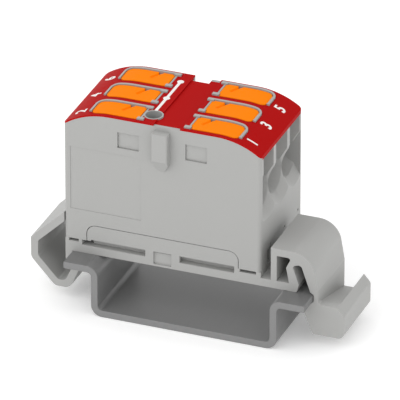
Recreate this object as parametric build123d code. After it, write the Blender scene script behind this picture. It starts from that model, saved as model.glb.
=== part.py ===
"""Six-way push-in distribution block on its rail adapter, clipped to a short top-hat rail.

Millimetres, +Z up. The origin is the middle of the rail's flat underside.
X runs across the rail, from the fixed foot on the left to the latch foot on the right.
Y runs along the rail, away from the front face that carries the key rib.
"""
import math
import os

from build123d import *

# Top-hat rail
rail_width = 35.0
rail_channel = 27.0
rail_height = 7.5
rail_sheet = 1.0
rail_bend = 1.1
rail_length = 15.0
rail_overhang = 3.4

# Block
pitch = 5.2
poles = 3
block_base = 2.0
block_crest = 21.65
crown_run = 6.5
crown_radius = 11.0
block_corner = 0.5
side_wall = 0.95
upper_wall = 0.5
partition = 0.95
floor_sheet = 2.6
end_wall = 0.8

# Wire funnels and clamping chambers
wire_height = 13.0
wire_bore = 1.6
funnel_mouth = 3.9
funnel_waist = 2.6
funnel_lip = 1.0
funnel_depth = 4.2
recess_depth = 1.6
chamber_gap = 0.1
centre_wall = 1.2
funnel_skin = 0.6

# Key rib, its groove and the front catches
key_width = 2.3
key_proud = 1.2
key_top = 20.8
key_foot = 16.7
key_tail = 14.7
key_round = 0.28
key_taper = 0.6
key_clearance = 0.1
catch_spacing = 9.85
catch_width = 3.1
catch_low = 17.1
catch_high = 19.5
catch_gap = 0.03
catch_sink = 0.25
panel_left = 0.9
panel_width = 10.3
panel_low = 6.6
panel_high = 16.1
panel_depth = 0.07

# Cover
cover_sheet = 0.45
cover_edge = 0.2
marker_left = 1.25
marker_right = 2.6
marker_depth = 0.2

# Push buttons: a shaft with a shoulder, a broad cap that carries the crown's arc, and a fork
press_travel = 1.5
travel_gap = 0.05
button_inner = 4.5
button_end = 3.7
button_half = 1.5
button_round = 0.9
button_gap = 0.1
shoulder = 0.45
shoulder_sheet = 0.9
ledge = 0.5
cap_inner = 3.75
cap_near = 1.95
cap_far = 1.6
cap_round = 0.8
cap_proud = 0.05
cap_sheet = 0.55
fork_inner = 4.9
fork_length = 1.8
fork_sheet = 0.45
pick_place = 1.3
pick_radius = 0.35
pick_depth = 0.5
groove_run = 2.0
groove_turn = 26.0
groove_width = 0.6
groove_depth = 0.3

# Collars: a rim along each cap's far side and round its outer end, two prongs and an inner bar
collar_inner = 2.95
collar_sheet = 0.3
collar_proud = 0.2
collar_root = 4.0
rim_far = 2.05
rim_end = 1.4
prong_inner = 1.45
prong_run = 0.95
bar_inner = 3.4
tongue_gap = 0.05

# Busbar, clamp springs and test socket
bar_sheet = 1.0
bar_margin = 1.6
bar_lift = 0.1
bar_corner = 0.4
bar_slot_gap = 0.1
spring_sheet = 0.3
spring_half = 1.55
spring_bend = 1.6
spring_tip = 4.2
spring_heel_room = 0.2
spring_heel_lift = 3.4
spring_tail = 2.0
test_radius = 1.15
test_place = 2.25
test_setback = 2.7
test_collar = 0.25

# Rail adapter
adapter_depth = 2 * pitch
hook_clearance = 0.05
leg_wall = 1.0
leg_step = 0.1
beam = 1.2
beam_short = 2.35
upright = 0.65
upright_left = 5.8
upright_right = 4.2
upright_setback = 1.35
end_recess = 1.6
end_recess_front = 2.6
end_recess_width = 1.3
end_notch = 0.35
end_notch_level = 4.6
end_notch_place = 1.2
end_notch_depth = 0.5
hook_gap = 0.1
lip_length = 1.75
foot_wall = 1.05
foot_drop = 5.9
foot_reach = 5.0
foot_shoulder = 1.0
foot_ankle = 2.1
foot_heel = 3.5
foot_sole = 2.2
foot_rounds = (0, 0.3, 1.2, 0.9, 1.3, 0.3)
lip_root = 1.6
lip_run = 1.5
lip_fall = 2.1
flap_left = 3.3
flap_right = 3.3
flap_top = 4.4
flap_sheet = 0.8
flap_corner = 1.3
flap_gap = 0.1
fit_gap = 0.05
rib_outer = 3.2
rib_inner = 1.2
rib_window = 2.6
window_lift = 0.2
window_depth = 1.0
web_sheet = 0.8
pocket_depth = 0.3
pocket_foot = 0.3
end_slot = 0.45
left_slots = ((0.65, 2.05), (2.55, 3.85))
right_slot = (0.7, 3.05)

# Latch foot
latch_span = 6.1
latch_gap = 1.45
latch_top = 6.15
latch_wall = 0.85
latch_crown = 3.2
latch_flat = 5.85
latch_side = 0.7
latch_waist = 0.55
latch_cut = 3.7
cavity_top = 5.05
cavity_width = 2.1
cavity_waist = 1.35
leg_thick = 1.4
leg_split = 0.5
head_reach = 1.9
slot_top = 4.3
slot_lean = 1.85
slot_width = 1.25
tooth_grip = 1.45
tooth_drop = 2.3
lever_reach = 4.5
lever_floor = 1.2
lever_wall = 1.0
lever_bevel = 1.15
lever_fall = 2.4
lever_fillet = 0.35

# Places worked out from the sizes above
rail_tip = rail_width / 2
seat = rail_height
block_depth = poles * pitch
rail_front = -rail_length / 2
front = rail_front + rail_overhang
back = front + block_depth
adapter_back = front + adapter_depth
hook_face = -rail_tip - hook_clearance
latch_left = rail_tip - latch_span
block_left = hook_face - leg_wall - leg_step
block_right = latch_left - latch_gap
block_mid = (block_left + block_right) / 2
half_length = (block_right - block_left) / 2
crown_flat = half_length - crown_run
button_outer = half_length - button_end
bar_reach = fork_inner + fork_length + bar_margin
chamber_reach = bar_reach + chamber_gap
spring_heel = chamber_reach + spring_heel_room
pole_places = [front + pitch * (index + 0.5) for index in range(poles)]
crest = seat + block_crest
base = seat + block_base
wire_z = seat + wire_height
bar_under = wire_z + wire_bore + bar_lift
bar_top = bar_under + bar_sheet
chamber_floor = base + floor_sheet
insert_reach = half_length - recess_depth - end_wall
cap_room = cap_sheet + press_travel + travel_gap
beam_end = rail_tip - beam_short


def box(x, y, z):
    """A block between the two limits given for each axis."""
    size = [limits[1] - limits[0] for limits in (x, y, z)]
    middle = [(limits[0] + limits[1]) / 2 for limits in (x, y, z)]
    return Pos(*middle) * Box(*size)


def spread(centre, half):
    """The two limits of a symmetric span."""
    return (centre - half, centre + half)


def prism(corners, y):
    """An outline in X and Z, with a radius at each corner, pulled along Y."""
    points = [(corner[0], corner[1]) for corner in corners]
    radii = [corner[2] if len(corner) > 2 else 0 for corner in corners]
    outline = FilletPolyline(*points, radius=radii, close=True)
    face = Plane.XZ * make_face(outline)
    return Pos(0, y[0], 0) * extrude(face, amount=y[1] - y[0], dir=(0, 1, 0))


def column(corners, z):
    """An outline in X and Y, with a radius at each corner, pulled upwards."""
    points = [(corner[0], corner[1]) for corner in corners]
    radii = [corner[2] if len(corner) > 2 else 0 for corner in corners]
    face = make_face(FilletPolyline(*points, radius=radii, close=True))
    return Pos(0, 0, z[0]) * extrude(face, amount=z[1] - z[0], dir=(0, 0, 1))


def shifted(points, distance):
    """An open line of points moved sideways, with mitred corners."""
    moved = []
    last = len(points) - 1
    for index, (x, z) in enumerate(points):
        normals = []
        for start, end in ((index - 1, index), (index, index + 1)):
            if start < 0 or end > last:
                continue
            dx = points[end][0] - points[start][0]
            dz = points[end][1] - points[start][1]
            length = math.hypot(dx, dz)
            normals.append((-dz / length, dx / length))
        nx = sum(normal[0] for normal in normals)
        nz = sum(normal[1] for normal in normals)
        scale = distance * len(normals) / (nx * nx + nz * nz)
        moved.append((x + nx * scale, z + nz * scale))
    return moved


def strip(points, sheet, bend, y):
    """A bent sheet: its middle line in X and Z, its thickness and its bend radius."""
    left = shifted(points, sheet / 2)
    right = shifted(points, -sheet / 2)
    corners = []
    for side, line, sign in ((1, left, 1), (-1, right[::-1], -1)):
        path = points if side > 0 else points[::-1]
        for index, (x, z) in enumerate(line):
            radius = 0
            if 0 < index < len(line) - 1:
                ax, az = path[index][0] - path[index - 1][0], path[index][1] - path[index - 1][1]
                bx, bz = path[index + 1][0] - path[index][0], path[index + 1][1] - path[index][1]
                turn = math.copysign(1, ax * bz - az * bx)
                radius = bend - turn * sheet / 2
            corners.append((x, z, radius))
    return prism(corners, y)


def crown(y, low, drop):
    """The block's outline in X and Z from a low level up to its arched top, less a drop."""
    radius = crown_radius - drop
    run = half_length - crown_flat
    full = math.asin(run / radius)
    top = crest - drop

    def at(angle, side):
        return (block_mid + side * (crown_flat + radius * math.sin(angle)),
                top - radius * (1 - math.cos(angle)))

    with BuildLine() as line:
        Line(at(0, -1), at(0, 1))
        ThreePointArc(at(0, 1), at(full / 2, 1), at(full, 1))
        Line(at(full, 1), (block_right, low))
        Line((block_right, low), (block_left, low))
        Line((block_left, low), at(full, -1))
        ThreePointArc(at(full, -1), at(full / 2, -1), at(0, -1))
    face = Plane.XZ * make_face(line.line)
    return Pos(0, y[0], 0) * extrude(face, amount=y[1] - y[0], dir=(0, 1, 0))


def slot_plan(side, pole, u, v, rounds, z):
    """A plan beside a pole: its reach from the block's middle, its width and its end's rounds."""
    near, far = (block_mid + side * reach for reach in u)
    corners = [(near, pole + v[0]), (far, pole + v[0], rounds[0]),
               (far, pole + v[1], rounds[1]), (near, pole + v[1])]
    return column(corners, z)


def ways():
    """Number, side and pole of each clamping place, numbered from the front, right side first."""
    number = 0
    for pole in pole_places:
        for side in (1, -1):
            number += 1
            yield number, side, pole


def key_shape():
    """The key rib on the front face, with round edges and a tail that narrows to a point."""
    half = key_width / 2
    top, foot, tail = seat + key_top, seat + key_foot, seat + key_tail
    profile = [(0, top), (-key_proud, top), (-key_proud, foot), (0, tail)]
    face = Plane.YZ * make_face(Polyline(*profile, close=True))
    rib = Pos(block_mid - half, front, 0) * extrude(face, amount=key_width, dir=(1, 0, 0))
    outline = [(block_mid - half, top + 1), (block_mid - half, foot - key_taper, key_taper),
               (block_mid, tail - key_taper, key_taper),
               (block_mid + half, foot - key_taper, key_taper), (block_mid + half, top + 1)]
    rib &= prism(outline, (front - key_proud - 1, front + 1))
    return fillet(rib.edges().filter_by(Axis.Z).group_by(Axis.Y)[0], key_round)


def key_groove():
    """The groove in the back that the next block's rib slides into from above."""
    half = key_width / 2 + key_clearance
    depth = key_proud + key_clearance
    low = seat + key_tail - key_clearance
    return box(spread(block_mid, half), (back - depth, back + 1), (low, crest + 1))


def funnels():
    """What the six wire entries take out of the two ends."""
    cut = []
    for side in (1, -1):
        mouth = block_mid + side * half_length
        inner = mouth - side * recess_depth
        recess = box(sorted((inner, mouth + side)), (front + side_wall, back - side_wall),
                     (wire_z, crest + 1))
        for wall in (front + pitch * index for index in range(1, poles)):
            recess -= box(sorted((inner - side, mouth + side)), spread(wall, partition / 2),
                          (seat, crest + 2))
        cut.append(recess)
        room = box(spread(mouth, half_length), (front + funnel_skin, back - funnel_skin),
                   (seat, crest + 1))
        for pole in pole_places:
            wire_axis = Plane(origin=(mouth, pole, wire_z), x_dir=(0, 1, 0), z_dir=(-side, 0, 0))
            bore = Cylinder(wire_bore, half_length - chamber_reach + 0.1,
                            align=(Align.CENTER, Align.CENTER, Align.MIN))
            cut.append((wire_axis * funnel()) & room)
            cut.append(wire_axis * bore)
    return cut


def funnel():
    """One funnel: a steep mouth that runs into its neighbours, then a slender cone."""
    upright = (Align.CENTER, Align.CENTER, Align.MIN)
    lip = Cone(funnel_mouth, funnel_waist, funnel_lip, align=upright)
    return lip + Pos(0, 0, funnel_lip) * Cone(funnel_waist, wire_bore, funnel_depth - funnel_lip,
                                              align=upright)


def chambers():
    """The hollows that hold the clamp springs, the busbar and the button guide."""
    cut = []
    for _, side, pole in ways():
        near = block_mid + side * centre_wall / 2
        far = block_mid + side * chamber_reach
        width = (max(front + side_wall, pole - (pitch - partition) / 2),
                 min(back - side_wall, pole + (pitch - partition) / 2))
        cut.append(box(sorted((near, far)), width, (chamber_floor, bar_top)))
    cut.append(box(spread(block_mid, chamber_reach), (front + side_wall, back - side_wall),
                   (bar_under, bar_top + fit_gap)))
    cut.append(box(spread(block_mid, insert_reach), (front + upper_wall, back - upper_wall),
                   (bar_top, crest + 1)))
    return cut


def catches(x_gap, y, z_gap):
    """The two catches, or with no gap the two windows, in one long wall."""
    found = []
    for side in (-1, 1):
        centre = block_mid + side * catch_spacing / 2
        found.append(box(spread(centre, catch_width / 2 - x_gap), y,
                         (seat + catch_low + z_gap, seat + catch_high - z_gap)))
    return found


def make_housing():
    """Grey outer shell: funnels at both ends, key rib, groove, windows and spring chambers."""
    shell = crown((front, back), base, cover_edge)
    corners = shell.edges().filter_by(Axis.Z)
    shell = fillet(corners, block_corner)
    seat_room = crown((front + upper_wall, back - upper_wall), base - 1, cover_sheet)
    shell -= box((block_left - 1, block_right + 1), (front + upper_wall, back - upper_wall),
                 (crest - collar_root, crest + 1)) - seat_room
    shell += key_shape()
    shell -= key_groove()
    for hollow in funnels() + chambers():
        shell -= hollow
    shell += groove_back()
    for window in catches(0, (front - 0.1, front + upper_wall), 0):
        shell -= window
    for window in catches(0, (back - upper_wall, back + 0.1), 0):
        shell -= window
    shell -= marking_panel()
    shell -= flap_shape(flap_gap)
    tray = (front + upright_setback - fit_gap, adapter_back + fit_gap)
    shell -= box((block_left - 1, block_left + upright + fit_gap), tray,
                 (base - 1, seat + upright_left + fit_gap))
    shell -= box((block_right - end_recess - fit_gap, block_right + 1),
                 (front + end_recess_front - fit_gap,
                  front + end_recess_front + end_recess_width + fit_gap),
                 (base - 1, seat + upright_right + fit_gap))
    for _, side, pole in ways():
        face = block_mid + side * half_length
        shell -= box(spread(face, end_notch_depth), spread(pole + end_notch_place, end_notch / 2),
                     spread(seat + end_notch_level, end_notch / 2))
    return shell


def groove_back():
    """The wall behind the key groove, inside the upper hollow."""
    half = key_width / 2 + key_clearance + upper_wall
    depth = key_proud + key_clearance
    low = seat + key_tail - key_clearance - upper_wall
    wall = box(spread(block_mid, half), (back - depth - upper_wall, back - key_clearance),
               (low, crest - cover_sheet))
    return wall - key_groove()


def groove_room():
    """The space that the groove's inner wall takes out of the guide and the busbar."""
    half = key_width / 2 + key_clearance + upper_wall + fit_gap
    depth = key_proud + key_clearance + upper_wall + fit_gap
    return box(spread(block_mid, half), (back - depth, back + 1), (seat, crest + 2))


def marking_panel():
    """The shallow field for a marker on the front face."""
    x = (block_left + panel_left, block_left + panel_left + panel_width)
    return box(x, (front - 1, front + panel_depth), (seat + panel_low, seat + panel_high))


def button_pocket(side, pole):
    """The room that a button's shaft, shoulder and cap slide in, inside the guide."""
    gap = button_gap
    shaft = slot_plan(side, pole, (button_inner - gap, button_outer + gap),
                      spread(0, button_half + gap), (button_round + gap, button_round + gap),
                      (bar_top - 1, crest))
    lower = box(sorted((block_mid + side * (button_inner - shoulder - gap),
                        block_mid + side * (button_outer + shoulder + gap))),
                spread(pole, button_half + gap), (bar_top - 1, shoulder_top() + gap))
    floor = Pos(0, 0, -cap_room) * crown((front - 1, back + 1), seat, 0)
    return shaft + lower + (cap_plan(side, pole, gap) - floor)


def shoulder_top():
    """Top of a button's shoulder, under the ledge that keeps the button in the guide."""
    run = max(0.0, button_outer + button_gap - crown_flat)
    fall = crown_radius - math.sqrt(crown_radius ** 2 - run ** 2)
    return crest - cap_room - fall - ledge - button_gap


def prongs(side, pole, gap):
    """The collar's two prongs, which reach into the corners of a button's cap."""
    found = []
    for v in ((prong_inner - gap, rim_far + gap), (-rim_far - gap, -prong_inner + gap)):
        found.append(box(sorted((block_mid + side * (collar_inner - gap),
                                 block_mid + side * (collar_inner + prong_run + gap))),
                         (pole + v[0], pole + v[1]), (crest - collar_root, crest + 1)))
    return found


def cap_plan(side, pole, gap):
    """A button's broad cap seen from above, with room for the prongs; the gap widens it."""
    plan = slot_plan(side, pole, (cap_inner - gap, button_outer + gap),
                     (-cap_near - gap, cap_far + gap), (button_round + gap, cap_round + gap),
                     (crest - collar_root, crest + 1))
    for prong in prongs(side, pole, button_gap - gap):
        plan -= prong
    return plan


def rim_plan(side, pole, gap):
    """The block that a collar's rim and inner bar are cut from, seen from above."""
    outer = button_outer + button_gap + collar_sheet + gap
    corner = cap_round + button_gap + collar_sheet + gap
    return slot_plan(side, pole, (bar_inner - gap, outer), (-rim_end - gap, rim_far + gap),
                     (0, corner), (crest - collar_root, crest + 1))


def collar(side, pole):
    """The rim, the prongs and the flush inner bar that rise through the cover round a button."""
    proud = crown((front, back), crest - collar_root, -collar_proud)
    flush = crown((front - 1, back + 1), crest - collar_root, 0)
    bar = box(sorted((block_mid, block_mid + side * cap_inner)), spread(pole, prong_inner),
              (crest - collar_root, crest + 1))
    rim = rim_plan(side, pole, 0)
    for prong in prongs(side, pole, 0):
        rim += prong
    return (rim & proud) - (bar - flush)


def make_guide():
    """Grey guide inside the shell: six button shafts, the test socket and the catches."""
    gap = fit_gap
    reach = insert_reach - gap
    body = crown((front + upper_wall + gap, back - upper_wall - gap), bar_top, cover_sheet)
    body &= box(spread(block_mid, reach), (front, back), (bar_top, crest + 1))
    for _, side, pole in ways():
        body += collar(side, pole)
    body += test_hole(test_radius + test_collar - gap) & crown((front, back), bar_top, 0)
    for catch in catches(catch_gap, (front + catch_sink, front + upper_wall + 2 * gap), catch_gap):
        body += catch
    for catch in catches(catch_gap, (back - upper_wall - 2 * gap, back - catch_sink), catch_gap):
        body += catch
    for _, side, pole in ways():
        body -= button_pocket(side, pole)
    return body - groove_room() - test_hole(test_radius)


def test_hole(radius):
    """The round hole for a test plug, down to the busbar."""
    place = Pos(block_mid - test_place, front + test_setback, bar_top)
    return place * Cylinder(radius, crest - bar_top + 1,
                            align=(Align.CENTER, Align.CENTER, Align.MIN))


def make_cover():
    """Red cover plate that follows the crown, cut out round the six caps and their collars."""
    plate = crown((front, back), seat, 0)
    plate = fillet(plate.edges().filter_by(Axis.Z), block_corner)
    plate -= crown((front - 1, back + 1), seat - 1, cover_edge)
    inner = (front + upper_wall + fit_gap, back - upper_wall - fit_gap)
    plate += crown(inner, seat, cover_edge) - crown((front - 1, back + 1), seat - 1, cover_sheet)
    plate -= box((block_mid - marker_left, block_mid + marker_right), (front - 1, back + 1),
                 (crest - marker_depth, crest + 1))
    for _, side, pole in ways():
        plate -= cap_plan(side, pole, button_gap)
        plate -= rim_plan(side, pole, tongue_gap)
        for prong in prongs(side, pole, tongue_gap):
            plate -= prong
    plate -= test_hole(test_radius + test_collar)
    half = key_width / 2 + key_clearance
    plate -= box(spread(block_mid, half), (back - key_proud - key_clearance, back + 1),
                 (seat, crest + 1))
    return plate


def make_button(side, pole):
    """Orange push button: arched cap with a groove, shoulder and a fork that straddles the wire."""
    top = shoulder_top()
    low = top - shoulder_sheet
    arc = crown((front, back), seat, -cap_proud)
    under = Pos(0, 0, -cap_sheet) * crown((front - 1, back + 1), seat - 1, 0)
    shaft = slot_plan(side, pole, (button_inner, button_outer), spread(0, button_half),
                      (button_round, button_round), (low, crest + 1))
    foot = box(sorted((block_mid + side * (button_inner - shoulder),
                       block_mid + side * (button_outer + shoulder))),
               spread(pole, button_half), (low, top))
    piece = ((cap_plan(side, pole, 0) - under) + shaft) & arc
    piece += foot
    fork_x = sorted((block_mid + side * fork_inner, block_mid + side * (fork_inner + fork_length)))
    for offset in (-1, 1):
        prong = sorted((pole + offset * button_half, pole + offset * (button_half - fork_sheet)))
        piece += box(fork_x, prong, (fork_end(), top))
    return piece - pick_mark(side, pole)


def pick_mark(side, pole):
    """The hole for a screwdriver's tip at a cap's far side, and the groove that leads to it."""
    top = crest + cap_proud
    place = Pos(block_mid + side * (button_inner + pick_place), pole + button_half, top)
    hole = Pos(0, 0, -pick_depth) * Cylinder(pick_radius, pick_depth + 1,
                                             align=(Align.CENTER, Align.CENTER, Align.MIN))
    cut = [(-groove_width / 2, 0.05), (0, -groove_depth), (groove_width / 2, 0.05)]
    groove = Rot(0, 0, -groove_turn) * prism(cut, (-groove_run, 0))
    return place * (hole + groove)


def spring_line(side):
    """Middle line of a clamp spring: tail on the floor, heel at the wall, tip at the bar."""
    low = chamber_floor + spring_sheet / 2
    tip = bar_under - spring_sheet / 2
    return [(block_mid + side * spring_tail, low + 0.1),
            (block_mid + side * spring_heel, low + spring_heel_lift),
            (block_mid + side * spring_tip, tip - 0.05)]


def fork_end():
    """Lowest point of a button's fork, just above the clamp spring's leg."""
    line = spring_line(1)
    (heel_x, heel_z), (tip_x, tip_z) = line[1], line[2]
    slope = (tip_z - heel_z) / (tip_x - heel_x)
    at_fork = tip_z + slope * (block_mid + fork_inner - tip_x)
    half_sheet = spring_sheet / 2 * math.hypot(1, slope)
    return at_fork + half_sheet + 0.1


def make_spring(side, pole):
    """Leaf spring bent to a V: its tail rests on the floor, its tip presses up at the bar."""
    return strip(spring_line(side), spring_sheet, spring_bend, spread(pole, spring_half))


def make_busbar():
    """One flat bar that joins all six ways, notched where the button forks pass."""
    gap = fit_gap
    bar = box(spread(block_mid, bar_reach), (front + side_wall + gap, back - side_wall - gap),
              (bar_under, bar_top))
    bar = fillet(bar.edges().filter_by(Axis.Z), bar_corner) - groove_room()
    for _, side, pole in ways():
        x = sorted((block_mid + side * (fork_inner - bar_slot_gap),
                    block_mid + side * (fork_inner + fork_length + bar_slot_gap)))
        for offset in (-1, 1):
            inner = button_half - fork_sheet - bar_slot_gap
            outer = button_half + bar_slot_gap
            y = sorted((pole + offset * inner, pole + offset * outer))
            bar -= box(x, y, (bar_under - 1, bar_top + 1))
    return bar


def make_rail():
    """Top-hat rail, a short length, with rounded bends."""
    half_channel = (rail_channel - rail_sheet) / 2
    low, high = rail_sheet / 2, rail_height - rail_sheet / 2
    line = [(-rail_tip, high), (-half_channel, high), (-half_channel, low),
            (half_channel, low), (half_channel, high), (rail_tip, high)]
    return strip(line, rail_sheet, rail_bend, (rail_front, rail_front + rail_length))


def flap_shape(gap):
    """The adapter's springy front flap; with a gap, the recess that it lies in."""
    left = block_left + flap_left - gap
    right = block_right - flap_right + gap
    low = base - 1 if gap else base + window_lift
    high = seat + flap_top + gap
    round_off = flap_corner + gap
    outline = [(left, low), (left, high, round_off), (right, high, round_off), (right, low)]
    return prism(outline, (front - (1 if gap else 0), front + flap_sheet + gap))


def foot_line():
    """Outer line of the fixed foot, from the block's side down and round to the lip."""
    outer = block_left - foot_reach
    low = seat - foot_drop
    return [(block_left, seat + upright_left), (outer, seat + foot_shoulder),
            (outer, seat - foot_ankle), (outer + foot_heel, low),
            (outer + foot_heel + foot_sole, low),
            (hook_face + lip_length, seat - rail_sheet - hook_gap)]


def loop_foot():
    """The fixed foot on the left: a closed springy loop whose lip holds the rail's edge."""
    line = [(x, z, radius) for (x, z), radius in zip(foot_line(), foot_rounds)]
    inside = [(hook_face, seat - rail_sheet - hook_gap), (hook_face, seat),
              (block_left + upright, seat), (block_left + upright, seat + upright_left)]
    return prism(line + inside, (front, adapter_back))


def loop_hole():
    """The opening inside the fixed foot: its line moved inwards by the wall, beside the leg."""
    depth = (front - 1, adapter_back + 1)
    inner = shifted(foot_line(), foot_wall)
    line = [(x, z, max(0.3, radius - foot_wall / 2) if radius else 0)
            for (x, z), radius in zip(inner, foot_rounds[:-1] + (0,))]
    leg = block_left + leg_step
    left, top, low = block_left - foot_reach, seat + upright_left, seat - foot_drop
    root = seat - lip_root
    room = [(left, top), (leg, top), (leg, root, lip_run), (leg + lip_run, root - lip_fall),
            (leg + lip_run, low), (left, low)]
    return prism(line, depth) & prism(room, depth)


def make_adapter():
    """Grey adapter: seat beam, uprights, ribs, front flap and the fixed foot."""
    depth = (front, adapter_back)
    body = loop_foot() - loop_hole()
    body -= box((block_left - fit_gap, block_right), (front - 1, front + upright_setback),
                (base, crest))
    end = [(hook_face, seat), (beam_end, seat, 0.3), (beam_end + 0.3, seat + beam),
           (hook_face, seat + beam)]
    body += prism(end, depth)
    body += box((block_left + upright - 0.01, hook_face + 0.01), depth, (seat, seat + beam))
    body += box((block_right - upright, block_right), depth, (seat, base))
    flap = (front, front + flap_sheet)
    for x in rib_places():
        body += box(x, depth, (seat + beam - 0.01, base))
        root = (max(x[0], block_left + flap_left), min(x[1], block_right - flap_right))
        body += box(root, flap, (base - 0.01, base + window_lift))
    web = (front + window_depth, front + window_depth + web_sheet)
    body += box((block_left + upright, block_right - upright), web, (seat + beam - 0.01, base))
    middle = spread(block_mid, rib_window / 2)
    body += box(middle, (front + pocket_depth, web[1]), (seat + beam - 0.01, base))
    body -= box(middle, (front - 1, front + pocket_depth), (seat + pocket_foot, seat + beam))
    return body + flap_shape(0) - end_slots() + end_upright()


def end_upright():
    """The upright in the recess of the housing's right end."""
    stand = block_right - end_recess
    near = front + end_recess_front
    return box((stand, stand + upright), (near, near + end_recess_width),
               (seat, seat + upright_right))


def end_slots():
    """The slots that go right through under the block's outer corners."""
    y = (front - 1, adapter_back + 1)
    z = (base - end_slot, base)
    (outer, inner) = left_slots
    cut = box((block_left + outer[0], block_left + outer[1]), y, z)
    cut += box((block_left + inner[0], block_left + inner[1]), y, (seat + beam, base))
    return cut + box((block_right - right_slot[1], block_right - right_slot[0]), y, z)


def rib_places():
    """Spans in X of the low ribs that the block stands on."""
    left = block_left + upright
    right = block_right - upright
    inner = rib_window / 2
    return [(left, left + rib_outer), (right - rib_outer, right),
            (block_mid - inner - rib_inner, block_mid - inner),
            (block_mid + inner, block_mid + inner + rib_inner)]


def latch_shape():
    """The whole latch foot as moulded, from the beam's end to the lever."""
    side = rail_tip + latch_side
    lever = rail_tip + lever_reach
    low = seat - foot_drop
    grip = seat - rail_sheet - hook_gap
    slot = rail_tip + hook_clearance + 0.05
    lean = slot - slot_lean
    outline = [(latch_left, seat + latch_top),
               (latch_left + latch_flat, seat + latch_top, latch_crown),
               (side, seat + latch_waist, 1.5), (side, seat - lever_floor, lever_fillet),
               (lever - lever_wall, seat - lever_floor, 0.4),
               (lever, seat - lever_floor - lever_bevel, 0.6), (lever, low, 0.9),
               (rail_tip, low, 0.3), (rail_tip - tooth_grip, seat - tooth_drop, 0.15),
               (rail_tip - tooth_grip / 2, grip), (slot, grip, 0.2), (slot, seat + 0.1, 0.2),
               (slot - 0.5, seat + 0.4, 0.3), (lean, seat + slot_top, 0.5),
               (lean - slot_width, seat + slot_top - 0.35, 0.4), (beam_end + 0.3, seat + beam),
               (latch_left, seat + beam)]
    return prism(outline, (front, adapter_back))


def latch_cavity():
    """The four-cornered opening between the two springy legs of the latch foot."""
    left = latch_left + latch_wall
    low = seat + beam
    right = beam_end + 0.3 - leg_thick
    outline = [(left, low), (left, seat + cavity_top), (left + cavity_width, seat + cavity_top, 0.3),
               (left + cavity_waist, seat + latch_cut - 0.2, 0.3), (right, low)]
    return prism(outline, (front - 1, adapter_back + 1))


def leg_room():
    """The two spans of the latch foot that bend when it is pulled open."""
    y = (front - 1, adapter_back + 1)
    middle = latch_left + latch_wall + leg_split
    inner = box((latch_left - 1, middle), y, (seat + beam, seat + cavity_top))
    outer = box((middle, rail_tip - head_reach), y, (seat + beam, seat + latch_cut))
    return inner + outer


def lever_cut():
    """The room behind the lever for a screwdriver's tip; its floor falls towards the back."""
    top = seat - lever_floor
    far = rail_tip + lever_reach - lever_wall
    profile = [(front + leg_wall, top), (adapter_back, top - lever_fall),
               (adapter_back + 1, top - lever_fall), (adapter_back + 1, top + 1),
               (front + leg_wall, top + 1)]
    face = Plane.YZ * make_face(Polyline(*profile, close=True))
    side = rail_tip + latch_side
    return Pos(side, 0, 0) * extrude(face, amount=far - side, dir=(1, 0, 0))


def make_latch_legs():
    """The two springy legs that carry the latch foot's head."""
    return (latch_shape() - latch_cavity()) & leg_room()


def make_latch_foot():
    """The latch foot's head with its tooth and lever."""
    return latch_shape() - latch_cavity() - leg_room() - lever_cut()


def main():
    """Write one file for each piece."""
    os.makedirs("parts", exist_ok=True)
    pieces = {"rail": make_rail(), "base_adapter": make_adapter(), "latch_legs": make_latch_legs(),
              "latch_foot": make_latch_foot(), "housing": make_housing(),
              "button_guide": make_guide(), "marking_cover": make_cover(),
              "busbar": make_busbar()}
    for number, side, pole in ways():
        pieces[f"clamp_spring_{number}"] = make_spring(side, pole)
        pieces[f"push_button_{number}"] = make_button(side, pole)
    for name, piece in pieces.items():
        piece.label = name
        export_step(piece, f"parts/{name}.step")


main()
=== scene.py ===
"""Looks of the six-way push-in distribution block on its rail adapter.

Every piece stands where the CAD frame puts it, in metres, with +Z up and the rail along Y.
"""
import math

import bmesh
import bpy
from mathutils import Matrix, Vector


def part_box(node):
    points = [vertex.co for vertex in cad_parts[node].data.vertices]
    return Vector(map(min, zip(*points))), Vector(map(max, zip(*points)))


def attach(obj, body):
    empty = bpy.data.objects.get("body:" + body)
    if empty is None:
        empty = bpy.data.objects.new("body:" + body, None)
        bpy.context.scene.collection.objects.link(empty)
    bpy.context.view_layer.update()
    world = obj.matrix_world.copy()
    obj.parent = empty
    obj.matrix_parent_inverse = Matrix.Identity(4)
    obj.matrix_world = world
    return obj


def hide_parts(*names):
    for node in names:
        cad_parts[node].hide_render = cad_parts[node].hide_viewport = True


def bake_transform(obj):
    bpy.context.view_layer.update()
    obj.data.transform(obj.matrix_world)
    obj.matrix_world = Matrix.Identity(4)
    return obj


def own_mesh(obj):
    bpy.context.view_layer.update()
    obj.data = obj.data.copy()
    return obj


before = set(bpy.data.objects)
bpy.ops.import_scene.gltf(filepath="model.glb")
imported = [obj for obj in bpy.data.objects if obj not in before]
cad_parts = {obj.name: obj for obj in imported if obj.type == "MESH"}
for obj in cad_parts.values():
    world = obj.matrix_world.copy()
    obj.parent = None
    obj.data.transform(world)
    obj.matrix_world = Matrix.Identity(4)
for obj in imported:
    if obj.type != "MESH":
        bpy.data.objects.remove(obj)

bl_info = {
    "name": "Distribution block looks",
    "version": (1, 0, 0),
    "blender": (4, 5, 0),
    "location": "View3D > Sidebar > Block",
    "description": "Finishes, printed marks and studio for a push-in distribution block",
    "category": "Object",
}

COVER_LOW, COVER_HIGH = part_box("marking_cover")
BLOCK_MID = (COVER_LOW.x + COVER_HIGH.x) / 2
CREST = COVER_HIGH.z
PITCH = (COVER_HIGH.y - COVER_LOW.y) / 3
POLES = [COVER_LOW.y + PITCH * (index + 0.5) for index in range(3)]
WAYS = [(2 * index + place + 1, side, pole)
        for index, pole in enumerate(POLES) for place, side in enumerate((1, -1))]

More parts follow.
